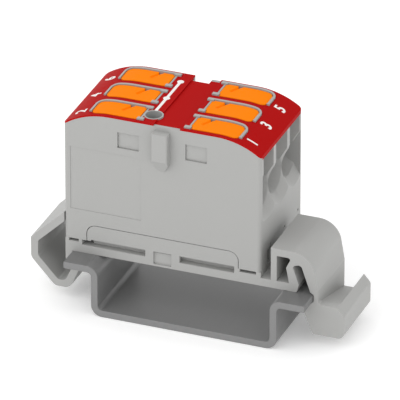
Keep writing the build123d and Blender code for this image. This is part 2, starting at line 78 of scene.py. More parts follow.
# Points nearer than this are one point, in metres: in CAD meshes and in the thin printed films
WELD_DISTANCE = 1e-6
SEW_DISTANCE = 1e-7
# Faces that meet at less than the first angle are one flat, and at more than the second an edge
FLAT_ANGLE = math.radians(0.5)
EDGE_ANGLE = math.radians(35)
EDGE_SEGMENTS = 2
# Noise of the mouldings: detail of the grain, scale and detail of the faint clouds of shade, and
# how far the roughness follows the clouds
GRAIN_DETAIL = 2.0
CLOUD_SCALE = 180.0
CLOUD_DETAIL = 3.0
ROUGHNESS_SWING = 0.12
# Depth of the fine streaks of rolled metal, in metres
STREAK_DEPTH = 0.000001
# Sides of a printed dot, and how much thicker its film is than the line's, so that it covers it
DOT_SIDES = 24
DOT_FILM = 1.4
# Points in the round of a spring's bend
BEND_POINTS = 10


# Values that a user would change

class BlockFinish(bpy.types.PropertyGroup):
    """Colours and surface of the moulded and metal parts."""
    grey: bpy.props.FloatVectorProperty(
        name="Grey", description="Colour of the housing, the guide and the adapter",
        subtype="COLOR", size=3, min=0, max=1, default=(0.392, 0.392, 0.382))
    red: bpy.props.FloatVectorProperty(
        name="Red", description="Colour of the cover plate",
        subtype="COLOR", size=3, min=0, max=1, default=(0.415, 0.005, 0.005))
    orange: bpy.props.FloatVectorProperty(
        name="Orange", description="Colour of the push buttons",
        subtype="COLOR", size=3, min=0, max=1, default=(0.97, 0.228, 0.002))
    ink: bpy.props.FloatVectorProperty(
        name="Ink", description="Colour of the printed marks",
        subtype="COLOR", size=3, min=0, max=1, default=(0.86, 0.84, 0.82))
    grain_size: bpy.props.FloatProperty(
        name="Grain size", description="Size of the fine matt grain of the mouldings",
        subtype="DISTANCE", unit="LENGTH", default=0.00018, min=0.00002)
    grain_depth: bpy.props.FloatProperty(
        name="Grain depth", description="Depth of the fine matt grain of the mouldings",
        subtype="DISTANCE", unit="LENGTH", default=0.000003, min=0)
    edge_round: bpy.props.FloatProperty(
        name="Edge rounding", description="Radius of the small rounding on moulded edges",
        subtype="DISTANCE", unit="LENGTH", default=0.00009, min=0)


class PrintedMarks(bpy.types.PropertyGroup):
    """Sizes and places of what is printed on the cover."""
    number_height: bpy.props.FloatProperty(
        name="Number height", description="Height of the printed way numbers",
        subtype="DISTANCE", unit="LENGTH", default=0.0021, min=0.0002)
    number_bold: bpy.props.FloatProperty(
        name="Number weight", description="How far a number's strokes spread on each side",
        subtype="DISTANCE", unit="LENGTH", default=0.00006, min=0)
    number_reach: bpy.props.FloatProperty(
        name="Number reach", description="Distance of a number's middle from the block's middle",
        subtype="DISTANCE", unit="LENGTH", default=0.0124, min=0)
    number_shift: bpy.props.FloatProperty(
        name="Number shift", description="Distance of a number from its way's middle line",
        subtype="DISTANCE", unit="LENGTH", default=0.0007)
    film: bpy.props.FloatProperty(
        name="Ink thickness", description="Thickness of the printed ink",
        subtype="DISTANCE", unit="LENGTH", default=0.00002, min=0.000005)
    line_place: bpy.props.FloatProperty(
        name="Line place", description="Distance of the white line from the block's middle",
        subtype="DISTANCE", unit="LENGTH", default=0.0024)
    line_width: bpy.props.FloatProperty(
        name="Line width", description="Width of the white line that links the ways",
        subtype="DISTANCE", unit="LENGTH", default=0.00042, min=0.00005)
    line_start: bpy.props.FloatProperty(
        name="Line start", description="Distance of the line's start from the first way's middle",
        subtype="DISTANCE", unit="LENGTH", default=0.0013)
    dot_width: bpy.props.FloatProperty(
        name="Dot width", description="Width of the dots on the white line",
        subtype="DISTANCE", unit="LENGTH", default=0.00095, min=0.00005)


class CrownShape(bpy.types.PropertyGroup):
    """The arched top that the printed marks lie on."""
    flat: bpy.props.FloatProperty(
        name="Flat half length", description="Half length of the flat middle of the crown",
        subtype="DISTANCE", unit="LENGTH", default=0.0078, min=0)
    radius: bpy.props.FloatProperty(
        name="Crown radius", description="Radius of the arc at each end of the crown",
        subtype="DISTANCE", unit="LENGTH", default=0.011, min=0.001)


class SpringShape(bpy.types.PropertyGroup):
    """The bent leaf of a push-in clamp."""
    sheet: bpy.props.FloatProperty(
        name="Sheet", description="Thickness of the spring steel",
        subtype="DISTANCE", unit="LENGTH", default=0.0003, min=0.00005)
    width: bpy.props.FloatProperty(
        name="Width", description="Width of the spring steel",
        subtype="DISTANCE", unit="LENGTH", default=0.0031, min=0.0005)
    tail: bpy.props.FloatProperty(
        name="Tail reach", description="Distance of the tail from the block's middle",
        subtype="DISTANCE", unit="LENGTH", default=0.002)
    heel: bpy.props.FloatProperty(
        name="Heel reach", description="Distance of the sharp bend from the block's middle",
        subtype="DISTANCE", unit="LENGTH", default=0.0086)
    tip: bpy.props.FloatProperty(
        name="Tip reach", description="Distance of the tip from the block's middle",
        subtype="DISTANCE", unit="LENGTH", default=0.0042)
    lift: bpy.props.FloatProperty(
        name="Heel lift", description="Height of the sharp bend over the tail",
        subtype="DISTANCE", unit="LENGTH", default=0.0034)
    bend: bpy.props.FloatProperty(
        name="Bend radius", description="Radius of the spring's bend",
        subtype="DISTANCE", unit="LENGTH", default=0.0016, min=0.0001)


class StudioSetup(bpy.types.PropertyGroup):
    """Camera, floor and light."""
    azimuth: bpy.props.FloatProperty(
        name="Camera azimuth", description="Turn of the camera to the right of the front",
        subtype="ANGLE", unit="ROTATION", default=math.radians(21.3))
    elevation: bpy.props.FloatProperty(
        name="Camera elevation", description="Height of the camera over the horizon",
        subtype="ANGLE", unit="ROTATION", default=math.radians(28.1))
    distance: bpy.props.FloatProperty(
        name="Camera distance", description="Distance of the camera from its aim",
        subtype="DISTANCE", unit="LENGTH", default=1.03, min=0.1)
    lens: bpy.props.FloatProperty(
        name="Lens", description="Focal length in millimetres for a 36 mm sensor",
        default=684.0, min=20.0)
    aim: bpy.props.FloatVectorProperty(
        name="Aim", description="Point in the middle of the picture",
        subtype="TRANSLATION", unit="LENGTH", size=3, default=(-0.00045, 0.0, 0.0166))
    floor: bpy.props.FloatVectorProperty(
        name="Floor", description="Colour of the floor",
        subtype="COLOR", size=3, min=0, max=1, default=(0.93, 0.93, 0.93))
    sky: bpy.props.FloatProperty(
        name="Sky", description="Strength of the even white light all round",
        default=0.96, min=0)
    key: bpy.props.FloatProperty(
        name="Key light", description="Power of the large light on the front left",
        subtype="POWER", unit="POWER", default=0.5, min=0)
    key_size: bpy.props.FloatProperty(
        name="Key light size", description="Width of the round key light",
        subtype="DISTANCE", unit="LENGTH", default=0.5, min=0.01)
    key_place: bpy.props.FloatVectorProperty(
        name="Key light place", description="Middle of the key light",
        subtype="TRANSLATION", unit="LENGTH", size=3, default=(-0.20, -0.28, 0.36))
    floor_glow: bpy.props.FloatProperty(
        name="Floor glow", description="Light that the white floor adds, as a light table",
        default=0.2, min=0)


# Small helpers

def settings(name):
    """One group of values, read from the scene."""
    return getattr(bpy.context.scene, name)


def new_object(name, mesh):
    """A mesh as an object in the scene."""
    made = bpy.data.objects.new(name, mesh)
    bpy.context.scene.collection.objects.link(made)
    return made


def mesh_copy(node, name):
    """A copy of a CAD node with its doubles merged, as an object of its own."""
    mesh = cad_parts[node].data.copy()
    mesh.name = name
    shape = bmesh.new()
    shape.from_mesh(mesh)
    bmesh.ops.remove_doubles(shape, verts=shape.verts, dist=WELD_DISTANCE)
    shape.to_mesh(mesh)
    shape.free()
    return new_object(name, mesh)


def dress(node, material):
    """Give a CAD node its material."""
    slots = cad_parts[node].material_slots
    if not slots:
        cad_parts[node].data.materials.append(material)
    for place in slots:
        place.link = "OBJECT"
        place.material = material


def soften(node, radius):
    """Round the sharp edges of a CAD node with modifiers; its own mesh stays as it is."""
    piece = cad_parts[node]
    weld = piece.modifiers.new("merge doubles", "WELD")
    weld.merge_threshold = WELD_DISTANCE
    flats = piece.modifiers.new("join flats", "DECIMATE")
    flats.decimate_type = "DISSOLVE"
    flats.angle_limit = FLAT_ANGLE
    edges = piece.modifiers.new("soft edges", "BEVEL")
    edges.width = radius
    edges.segments = EDGE_SEGMENTS
    edges.limit_method = "ANGLE"
    edges.angle_limit = EDGE_ANGLE
    edges.harden_normals = True
    edges.use_clamp_overlap = True


# Materials

def shader_group(name, inputs, outputs):
    """An empty shader node group with named sockets, and its two end nodes."""
    group = bpy.data.node_groups.new(name, "ShaderNodeTree")
    for label, kind, value in inputs:
        socket = group.interface.new_socket(label, in_out="INPUT", socket_type=kind)
        socket.default_value = value
    for label, kind in outputs:
        group.interface.new_socket(label, in_out="OUTPUT", socket_type=kind)
    return group, group.nodes.new("NodeGroupInput"), group.nodes.new("NodeGroupOutput")


def math_node(tree, operation, first, second=None):
    """A Math node; an argument is either an output socket or a number."""
    node = tree.nodes.new("ShaderNodeMath")
    node.operation = operation
    for place, value in enumerate((first, second)):
        if value is None:
            continue
        if isinstance(value, (int, float)):
            node.inputs[place].default_value = value
        else:
            tree.links.new(value, node.inputs[place])
    return node.outputs[0]


def moulded_grain():
    """Fine matt grain of a moulded part: a height, a roughness and a faint change of shade."""
    found = bpy.data.node_groups.get("Moulded grain")
    if found:
        return found
    group, start, end = shader_group(
        "Moulded grain",
        [("Colour", "NodeSocketColor", (0.5, 0.5, 0.5, 1)),
         ("Grain Size", "NodeSocketFloat", 0.0002), ("Roughness", "NodeSocketFloat", 0.5),
         ("Mottle", "NodeSocketFloat", 0.02)],
        [("Colour", "NodeSocketColor"), ("Roughness", "NodeSocketFloat"),
         ("Height", "NodeSocketFloat")])
    links = group.links
    place = group.nodes.new("ShaderNodeTexCoord")
    grain = group.nodes.new("ShaderNodeTexNoise")
    grain.inputs["Detail"].default_value = GRAIN_DETAIL
    links.new(place.outputs["Object"], grain.inputs["Vector"])
    links.new(math_node(group, "DIVIDE", 1.0, start.outputs["Grain Size"]),
              grain.inputs["Scale"])
    cloud = group.nodes.new("ShaderNodeTexNoise")
    cloud.inputs["Scale"].default_value = CLOUD_SCALE
    cloud.inputs["Detail"].default_value = CLOUD_DETAIL
    links.new(place.outputs["Object"], cloud.inputs["Vector"])
    centred = math_node(group, "SUBTRACT", cloud.outputs["Fac"], 0.5)
    shade = math_node(group, "ADD", math_node(group, "MULTIPLY", centred,
                                              start.outputs["Mottle"]), 1.0)
    tint = group.nodes.new("ShaderNodeVectorMath")
    tint.operation = "SCALE"
    links.new(start.outputs["Colour"], tint.inputs[0])
    links.new(shade, tint.inputs["Scale"])
    links.new(tint.outputs[0], end.inputs["Colour"])
    rough = math_node(group, "ADD", math_node(group, "MULTIPLY", centred, ROUGHNESS_SWING),
                      start.outputs["Roughness"])
    links.new(rough, end.inputs["Roughness"])
    links.new(grain.outputs["Fac"], end.inputs["Height"])
    return group


def rolled_streaks():
    """Fine streaks of rolled metal along Y: a colour, a roughness and a height."""
    found = bpy.data.node_groups.get("Rolled streaks")
    if found:
        return found
    group, start, end = shader_group(
        "Rolled streaks",
        [("Colour", "NodeSocketColor", (0.6, 0.6, 0.6, 1)),
         ("Streaks Across", "NodeSocketFloat", 9000.0), ("Stretch", "NodeSocketFloat", 0.03),
         ("Roughness", "NodeSocketFloat", 0.3), ("Contrast", "NodeSocketFloat", 0.2)],
        [("Colour", "NodeSocketColor"), ("Roughness", "NodeSocketFloat"),
         ("Height", "NodeSocketFloat")])
    links = group.links
    place = group.nodes.new("ShaderNodeTexCoord")
    scale = group.nodes.new("ShaderNodeCombineXYZ")
    links.new(start.outputs["Streaks Across"], scale.inputs["X"])
    links.new(math_node(group, "MULTIPLY", start.outputs["Streaks Across"],
                        start.outputs["Stretch"]), scale.inputs["Y"])
    links.new(start.outputs["Streaks Across"], scale.inputs["Z"])
    stretched = group.nodes.new("ShaderNodeVectorMath")
    stretched.operation = "MULTIPLY"
    links.new(place.outputs["Object"], stretched.inputs[0])
    links.new(scale.outputs[0], stretched.inputs[1])
    streak = group.nodes.new("ShaderNodeTexNoise")
    streak.inputs["Scale"].default_value = 1.0
    streak.inputs["Detail"].default_value = GRAIN_DETAIL
    links.new(stretched.outputs[0], streak.inputs["Vector"])
    centred = math_node(group, "SUBTRACT", streak.outputs["Fac"], 0.5)
    swing = math_node(group, "MULTIPLY", centred, start.outputs["Contrast"])
    tint = group.nodes.new("ShaderNodeVectorMath")
    tint.operation = "SCALE"
    links.new(start.outputs["Colour"], tint.inputs[0])
    links.new(math_node(group, "ADD", swing, 1.0), tint.inputs["Scale"])
    links.new(tint.outputs[0], end.inputs["Colour"])
    links.new(math_node(group, "ADD", swing, start.outputs["Roughness"]),
              end.inputs["Roughness"])
    links.new(streak.outputs["Fac"], end.inputs["Height"])
    return group


def finish_material(name, group, values, height, metallic=0.0, shine=0.5):
    """A material whose colour, roughness and bump come from one of the groups."""
    found = bpy.data.materials.get(name)
    if found:
        return found
    material = bpy.data.materials.new(name)
    material.use_nodes = True
    tree = material.node_tree
    shader = tree.nodes["Principled BSDF"]
    shader.inputs["Metallic"].default_value = metallic
    shader.inputs["Specular IOR Level"].default_value = shine
    effect = tree.nodes.new("ShaderNodeGroup")
    effect.node_tree = group
    for label, value in values.items():
        effect.inputs[label].default_value = value
    tree.links.new(effect.outputs["Colour"], shader.inputs["Base Color"])
    tree.links.new(effect.outputs["Roughness"], shader.inputs["Roughness"])
    bump = tree.nodes.new("ShaderNodeBump")
    bump.inputs["Distance"].default_value = height
    bump.inputs["Strength"].default_value = 1.0
    tree.links.new(effect.outputs["Height"], bump.inputs["Height"])
    tree.links.new(bump.outputs["Normal"], shader.inputs["Normal"])
    return material


def opaque(colour):
    """A colour with full alpha."""
    return (*colour, 1.0)


def grey_plastic():
    look = settings("block_finish")
    return finish_material("Grey moulding", moulded_grain(),
                           {"Colour": opaque(look.grey), "Grain Size": look.grain_size,
                            "Roughness": 0.46, "Mottle": 0.03}, look.grain_depth, shine=0.22)


def red_plastic():
    look = settings("block_finish")
    return finish_material("Red moulding", moulded_grain(),
                           {"Colour": opaque(look.red), "Grain Size": look.grain_size,
                            "Roughness": 0.42, "Mottle": 0.05}, look.grain_depth, shine=0.015)


def orange_plastic():
    look = settings("block_finish")
    return finish_material("Orange moulding", moulded_grain(),
                           {"Colour": opaque(look.orange), "Grain Size": look.grain_size,
                            "Roughness": 0.36, "Mottle": 0.04}, look.grain_depth, shine=0.015)


def zinc_steel():
    return finish_material("Zinc plated rail", rolled_streaks(),
                           {"Colour": (0.24, 0.24, 0.24, 1), "Streaks Across": 6000.0,
                            "Stretch": 0.02, "Roughness": 0.42, "Contrast": 0.12},
                           STREAK_DEPTH, metallic=0.35, shine=0.3)


def spring_steel():
    return finish_material("Spring steel", rolled_streaks(),
                           {"Colour": (0.62, 0.61, 0.58, 1), "Streaks Across": 16000.0,
                            "Stretch": 0.05, "Roughness": 0.22, "Contrast": 0.12},
                           STREAK_DEPTH, metallic=1.0)


def tinned_copper():
    return finish_material("Tinned copper", rolled_streaks(),
                           {"Colour": (0.70, 0.60, 0.50, 1), "Streaks Across": 14000.0,
                            "Stretch": 0.04, "Roughness": 0.28, "Contrast": 0.14},
                           STREAK_DEPTH, metallic=1.0)


def printed_ink():
    look = settings("block_finish")
    return finish_material("White ink", moulded_grain(),
                           {"Colour": opaque(look.ink), "Grain Size": look.grain_size,
                            "Roughness": 0.5, "Mottle": 0.03}, look.grain_depth / 2)


# Geometry node trees

def geometry_tree(name, inputs):
    """An empty geometry tree with named inputs, and its two end nodes."""
    tree = bpy.data.node_groups.new(name, "GeometryNodeTree")
    tree.interface.new_socket("Geometry", in_out="INPUT", socket_type="NodeSocketGeometry")
    for label, kind in inputs:
        tree.interface.new_socket(label, in_out="INPUT", socket_type=kind)
    tree.interface.new_socket("Geometry", in_out="OUTPUT", socket_type="NodeSocketGeometry")
    return tree, tree.nodes.new("NodeGroupInput"), tree.nodes.new("NodeGroupOutput")


def join_up(tree, *pairs):
    """Link pairs of sockets; a plain value is set on the second one instead."""
    for source, target in pairs:
        if isinstance(source, bpy.types.NodeSocket):
            tree.links.new(source, target)
        else:
            target.default_value = source


def vector_node(tree, x, y, z):
    """A vector from three sockets or numbers."""
    node = tree.nodes.new("ShaderNodeCombineXYZ")
    join_up(tree, (x, node.inputs[0]), (y, node.inputs[1]), (z, node.inputs[2]))
    return node.outputs[0]


def closed_film(tree, sheet, thickness, material):
    """Thicken a flat sheet upwards into a closed film with a material."""
    up = tree.nodes.new("GeometryNodeExtrudeMesh")
    up.inputs["Individual"].default_value = False
    under = tree.nodes.new("GeometryNodeFlipFaces")
    both = tree.nodes.new("GeometryNodeJoinGeometry")
    sewn = tree.nodes.new("GeometryNodeMergeByDistance")
    paint = tree.nodes.new("GeometryNodeSetMaterial")
    join_up(tree, (sheet, up.inputs["Mesh"]), (vector_node(tree, 0.0, 0.0, 1.0),
                                               up.inputs["Offset"]),
            (thickness, up.inputs["Offset Scale"]), (sheet, under.inputs["Mesh"]),
            (up.outputs["Mesh"], both.inputs[0]), (under.outputs["Mesh"], both.inputs[0]),
            (both.outputs[0], sewn.inputs["Geometry"]), (SEW_DISTANCE, sewn.inputs["Distance"]),
            (sewn.outputs[0], paint.inputs["Geometry"]), (material, paint.inputs["Material"]))
    return paint.outputs[0]


def crown_height(tree, start):
    """Height of the crown's surface over a point's X, as the CAD source has it."""
    place = tree.nodes.new("GeometryNodeInputPosition")
    parts = tree.nodes.new("ShaderNodeSeparateXYZ")
    tree.links.new(place.outputs[0], parts.inputs[0])
    from_mid = math_node(tree, "ABSOLUTE", math_node(tree, "SUBTRACT", parts.outputs[0],
                                                     start.outputs["Crown Middle"]))
    run = math_node(tree, "MAXIMUM", math_node(tree, "SUBTRACT", from_mid,
                                               start.outputs["Crown Flat"]), 0.0)
    radius = start.outputs["Crown Radius"]
    square = math_node(tree, "SUBTRACT", math_node(tree, "MULTIPLY", radius, radius),
                       math_node(tree, "MULTIPLY", run, run))
    fall = math_node(tree, "SUBTRACT", radius, math_node(tree, "SQRT", square))
    height = math_node(tree, "SUBTRACT", start.outputs["Crest"], fall)
    return vector_node(tree, parts.outputs[0], parts.outputs[1], height)


CROWN_INPUTS = [("Crown Middle", "NodeSocketFloat"), ("Crown Flat", "NodeSocketFloat"),
                ("Crown Radius", "NodeSocketFloat"), ("Crest", "NodeSocketFloat"),
                ("Film", "NodeSocketFloat"), ("Ink", "NodeSocketMaterial")]


def outward(tree, distance):
    """A step of the given length away from the ink, across a flat outline."""
    along = tree.nodes.new("GeometryNodeInputTangent")
    across = tree.nodes.new("ShaderNodeVectorMath")
    across.operation = "CROSS_PRODUCT"
    step = tree.nodes.new("ShaderNodeVectorMath")
    step.operation = "SCALE"
    join_up(tree, (along.outputs[0], across.inputs[0]),
            (vector_node(tree, 0.0, 0.0, 1.0), across.inputs[1]),
            (across.outputs[0], step.inputs[0]), (distance, step.inputs["Scale"]))
    return step.outputs[0]


def number_tree():
    """A plain number, laid on the crown and read from the right-hand end of the block."""
    tree, start, end = geometry_tree(
        "Way number", [("Number", "NodeSocketInt"), ("Height", "NodeSocketFloat"),
                       ("Weight", "NodeSocketFloat"),
                       ("Place X", "NodeSocketFloat"), ("Place Y", "NodeSocketFloat")]
        + CROWN_INPUTS)
    words = tree.nodes.new("FunctionNodeValueToString")
    words.data_type = "INT"
    glyphs = tree.nodes.new("GeometryNodeStringToCurves")
    glyphs.font = bpy.data.curves.new("plain numerals", "FONT").font
    glyphs.align_x = "CENTER"
    glyphs.align_y = "MIDDLE"
    real = tree.nodes.new("GeometryNodeRealizeInstances")
    outline = tree.nodes.new("GeometryNodeResampleCurve")
    outline.mode = "EVALUATED"
    bold = tree.nodes.new("GeometryNodeSetPosition")
    fill = tree.nodes.new("GeometryNodeFillCurve")
    fine = tree.nodes.new("GeometryNodeSubdivideMesh")
    fine.inputs["Level"].default_value = 1
    turn = tree.nodes.new("GeometryNodeTransform")
    turn.inputs["Rotation"].default_value = (0, 0, math.pi / 2)
    drape = tree.nodes.new("GeometryNodeSetPosition")
    join_up(tree, (start.outputs["Number"], words.inputs["Value"]),
            (words.outputs[0], glyphs.inputs["String"]),
            (start.outputs["Height"], glyphs.inputs["Size"]),
            (glyphs.outputs["Curve Instances"], real.inputs[0]),
            (real.outputs[0], outline.inputs["Curve"]),
            (outline.outputs[0], bold.inputs["Geometry"]),
            (outward(tree, start.outputs["Weight"]), bold.inputs["Offset"]),
            (bold.outputs[0], fill.inputs["Curve"]), (fill.outputs[0], fine.inputs["Mesh"]),
            (fine.outputs[0], turn.inputs["Geometry"]),
            (vector_node(tree, start.outputs["Place X"], start.outputs["Place Y"], 0.0),
             turn.inputs["Translation"]),
            (turn.outputs[0], drape.inputs["Geometry"]),
            (crown_height(tree, start), drape.inputs["Position"]))
    join_up(tree, (closed_film(tree, drape.outputs[0], start.outputs["Film"],
                               start.outputs["Ink"]), end.inputs[0]))
    return tree


def line_sheet(tree, start, x):
    """The flat strip of the white line, laid on the crown."""
    run = math_node(tree, "SUBTRACT", start.outputs["Last Dot Y"], start.outputs["Start Y"])
    middle = math_node(tree, "ADD", start.outputs["Start Y"], math_node(tree, "DIVIDE", run, 2.0))
    strip = tree.nodes.new("GeometryNodeMeshGrid")
    strip.inputs["Vertices X"].default_value = 2
    strip.inputs["Vertices Y"].default_value = 2
    place = tree.nodes.new("GeometryNodeTransform")
    drape = tree.nodes.new("GeometryNodeSetPosition")
    join_up(tree, (start.outputs["Line Width"], strip.inputs["Size X"]),
            (run, strip.inputs["Size Y"]), (strip.outputs["Mesh"], place.inputs["Geometry"]),
            (vector_node(tree, x, middle, 0.0), place.inputs["Translation"]),
            (place.outputs[0], drape.inputs["Geometry"]),
            (crown_height(tree, start), drape.inputs["Position"]))
    return drape.outputs[0]


def dot_sheet(tree, start, x):
    """The flat dots at the second and the third way, laid on the crown."""
    row = tree.nodes.new("GeometryNodeMeshLine")
    row.mode = "END_POINTS"
    row.inputs["Count"].default_value = 2
    dot = tree.nodes.new("GeometryNodeMeshCircle")
    dot.fill_type = "NGON"
    dot.inputs["Vertices"].default_value = DOT_SIDES
    dots = tree.nodes.new("GeometryNodeInstanceOnPoints")
    real = tree.nodes.new("GeometryNodeRealizeInstances")
    drape = tree.nodes.new("GeometryNodeSetPosition")
    join_up(tree, (vector_node(tree, x, start.outputs["First Dot Y"], 0.0),
                   row.inputs["Start Location"]),
            (vector_node(tree, x, start.outputs["Last Dot Y"], 0.0), row.inputs["Offset"]),
            (math_node(tree, "DIVIDE", start.outputs["Dot Width"], 2.0), dot.inputs["Radius"]),
            (row.outputs[0], dots.inputs["Points"]), (dot.outputs[0], dots.inputs["Instance"]),
            (dots.outputs[0], real.inputs[0]), (real.outputs[0], drape.inputs["Geometry"]),
            (crown_height(tree, start), drape.inputs["Position"]))
    return drape.outputs[0]


def link_tree():
    """The white line that links the ways, with a dot at each way after the first."""
    tree, start, end = geometry_tree(
        "Link line", [("Place X", "NodeSocketFloat"), ("Start Y", "NodeSocketFloat"),
                      ("First Dot Y", "NodeSocketFloat"), ("Last Dot Y", "NodeSocketFloat"),
                      ("Line Width", "NodeSocketFloat"), ("Dot Width", "NodeSocketFloat")]
        + CROWN_INPUTS)
    x = start.outputs["Place X"]
    film, ink = start.outputs["Film"], start.outputs["Ink"]
    thicker = math_node(tree, "MULTIPLY", film, DOT_FILM)
    both = tree.nodes.new("GeometryNodeJoinGeometry")
    join_up(tree, (closed_film(tree, line_sheet(tree, start, x), film, ink), both.inputs[0]),
            (closed_film(tree, dot_sheet(tree, start, x), thicker, ink), both.inputs[0]),
            (both.outputs[0], end.inputs[0]))
    return tree


def bent_line(tree, start, ends):
    """A line through the named ends, which is rounded at its inner corners."""
    row = tree.nodes.new("GeometryNodeMeshLine")
    row.inputs["Count"].default_value = len(ends)
    path = tree.nodes.new("GeometryNodeMeshToCurve")
    corner = tree.nodes.new("GeometryNodeIndexSwitch")
    corner.data_type = "VECTOR"
    corner.index_switch_items.new()
    number = tree.nodes.new("GeometryNodeInputIndex")
    tree.links.new(number.outputs[0], corner.inputs["Index"])
    for index, label in enumerate(ends):
        tree.links.new(vector_node(tree, start.outputs[f"{label} X"], start.outputs["Place Y"],
                                   start.outputs[f"{label} Z"]), corner.inputs[index + 1])
    bent = tree.nodes.new("GeometryNodeSetPosition")
    rounded = tree.nodes.new("GeometryNodeFilletCurve")
    rounded.mode = "POLY"
    rounded.inputs["Count"].default_value = BEND_POINTS
    join_up(tree, (row.outputs[0], path.inputs[0]), (path.outputs[0], bent.inputs["Geometry"]),
            (corner.outputs[0], bent.inputs["Position"]),
            (bent.outputs[0], rounded.inputs["Curve"]),
            (start.outputs["Bend"], rounded.inputs["Radius"]))
    return rounded.outputs[0]


def leaf_tree():
    """A clamp spring: a strip of sheet steel that follows a bent line in X and Z."""
    ends = ("Tail", "Heel", "Tip")
    tree, start, end = geometry_tree(
        "Clamp leaf", [(f"{label} {axis}", "NodeSocketFloat") for label in ends for axis in "XZ"]
        + [("Place Y", "NodeSocketFloat"), ("Bend", "NodeSocketFloat"),
           ("Sheet", "NodeSocketFloat"), ("Width", "NodeSocketFloat"),
           ("Steel", "NodeSocketMaterial")])
    upright = tree.nodes.new("GeometryNodeSetCurveNormal")
    upright.mode = "Z_UP"
    section = tree.nodes.new("GeometryNodeCurvePrimitiveQuadrilateral")
    sweep = tree.nodes.new("GeometryNodeCurveToMesh")
    sweep.inputs["Fill Caps"].default_value = True
    flat = tree.nodes.new("GeometryNodeSetShadeSmooth")
    flat.inputs["Shade Smooth"].default_value = False
    paint = tree.nodes.new("GeometryNodeSetMaterial")
    join_up(tree, (bent_line(tree, start, ends), upright.inputs["Curve"]),
            (start.outputs["Width"], section.inputs["Width"]),
            (start.outputs["Sheet"], section.inputs["Height"]),
            (upright.outputs[0], sweep.inputs["Curve"]),
            (section.outputs[0], sweep.inputs["Profile Curve"]),
            (sweep.outputs[0], flat.inputs["Geometry"]),
            (flat.outputs[0], paint.inputs["Geometry"]),
            (start.outputs["Steel"], paint.inputs["Material"]),
            (paint.outputs[0], end.inputs[0]))
    return tree


def grown(name, tree, values):
    """The plain mesh that a geometry tree makes with the given input values."""
    seed = new_object(name + "_seed", bpy.data.meshes.new(name + "_seed"))
    modifier = seed.modifiers.new("grow", "NODES")
    modifier.node_group = tree
    sockets = {item.name: item.identifier for item in tree.interface.items_tree
               if item.in_out == "INPUT"}
    for label, value in values.items():
        modifier[sockets[label]] = value
    bpy.context.view_layer.update()
    graph = bpy.context.evaluated_depsgraph_get()
    mesh = bpy.data.meshes.new_from_object(seed.evaluated_get(graph), depsgraph=graph)
    seed.modifiers.remove(modifier)
    bpy.data.objects.remove(seed)
    if not mesh.vertices:
        raise RuntimeError(f"the tree for {name} made nothing")
    mesh.name = name
    return mesh


def merged(name, meshes):
    """Several plain meshes as one object."""
    shape = bmesh.new()
    for mesh in meshes:
        shape.from_mesh(mesh)
    whole = meshes[0]
    shape.to_mesh(whole)
    shape.free()
    whole.name = name
    for mesh in meshes[1:]:
        bpy.data.meshes.remove(mesh)
    return new_object(name, whole)


def crown_values():
    """What the printed marks need to know of the crown."""
    shape = settings("crown_shape")
    return {"Crown Middle": BLOCK_MID, "Crown Flat": shape.flat, "Crown Radius": shape.radius,
            "Crest": CREST, "Film": settings("printed_marks").film, "Ink": printed_ink()}


# One operator for each piece or group of like pieces

class BLOCK_OT_grey_mouldings(bpy.types.Operator):
    """Finish the housing, the button guide, the adapter and the latch foot"""
    bl_idname = "block.grey_mouldings"
    bl_label = "Grey mouldings"

    def execute(self, context):
        radius = settings("block_finish").edge_round
        for node in ("housing", "button_guide", "base_adapter", "latch_foot"):
            dress(node, grey_plastic())
            if node != "button_guide":
                soften(node, radius)
        return {"FINISHED"}


class BLOCK_OT_latch_legs(bpy.types.Operator):
    """Make a copy of the two latch legs, cut into bands across their height"""
    bl_idname = "block.latch_legs"
    bl_label = "Latch legs"

    steps: bpy.props.IntProperty(
        name="Steps", description="Number of bands that the legs bend in", default=10, min=2)
    bend_height: bpy.props.FloatProperty(
        name="Bend height", description="Height over the seat at which a leg follows the latch",
        subtype="DISTANCE", unit="LENGTH", default=0.0024, min=0.0001)

    def execute(self, context):
        low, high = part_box("latch_legs")
        piece = mesh_copy("latch_legs", "latch_leg_pair")
        shape = bmesh.new()
        shape.from_mesh(piece.data)
        for step in range(1, self.steps):
            height = low.z + (high.z - low.z) * step / self.steps
            bmesh.ops.bisect_plane(shape, geom=shape.verts[:] + shape.edges[:] + shape.faces[:],
                                   plane_co=(0, 0, height), plane_no=(0, 0, 1))
        shape.to_mesh(piece.data)
        shape.free()
        piece.data.materials.clear()
        piece.data.materials.append(grey_plastic())
        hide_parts("latch_legs")
        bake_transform(piece)
        return {"FINISHED"}


class BLOCK_OT_cover(bpy.types.Operator):
    """Finish the red cover plate"""
    bl_idname = "block.cover"
    bl_label = "Cover plate"

    def execute(self, context):
        dress("marking_cover", red_plastic())
        return {"FINISHED"}


class BLOCK_OT_buttons(bpy.types.Operator):
    """Finish the six push buttons"""
    bl_idname = "block.buttons"
    bl_label = "Push buttons"

    def execute(self, context):
        for number, _, _ in WAYS:
            dress(f"push_button_{number}", orange_plastic())
        return {"FINISHED"}


class BLOCK_OT_metal_parts(bpy.types.Operator):
    """Finish the rail and the busbar"""
    bl_idname = "block.metal_parts"
    bl_label = "Rail and busbar"

    def execute(self, context):
        dress("rail", zinc_steel())
        soften("rail", settings("block_finish").edge_round)
        dress("busbar", tinned_copper())
        return {"FINISHED"}


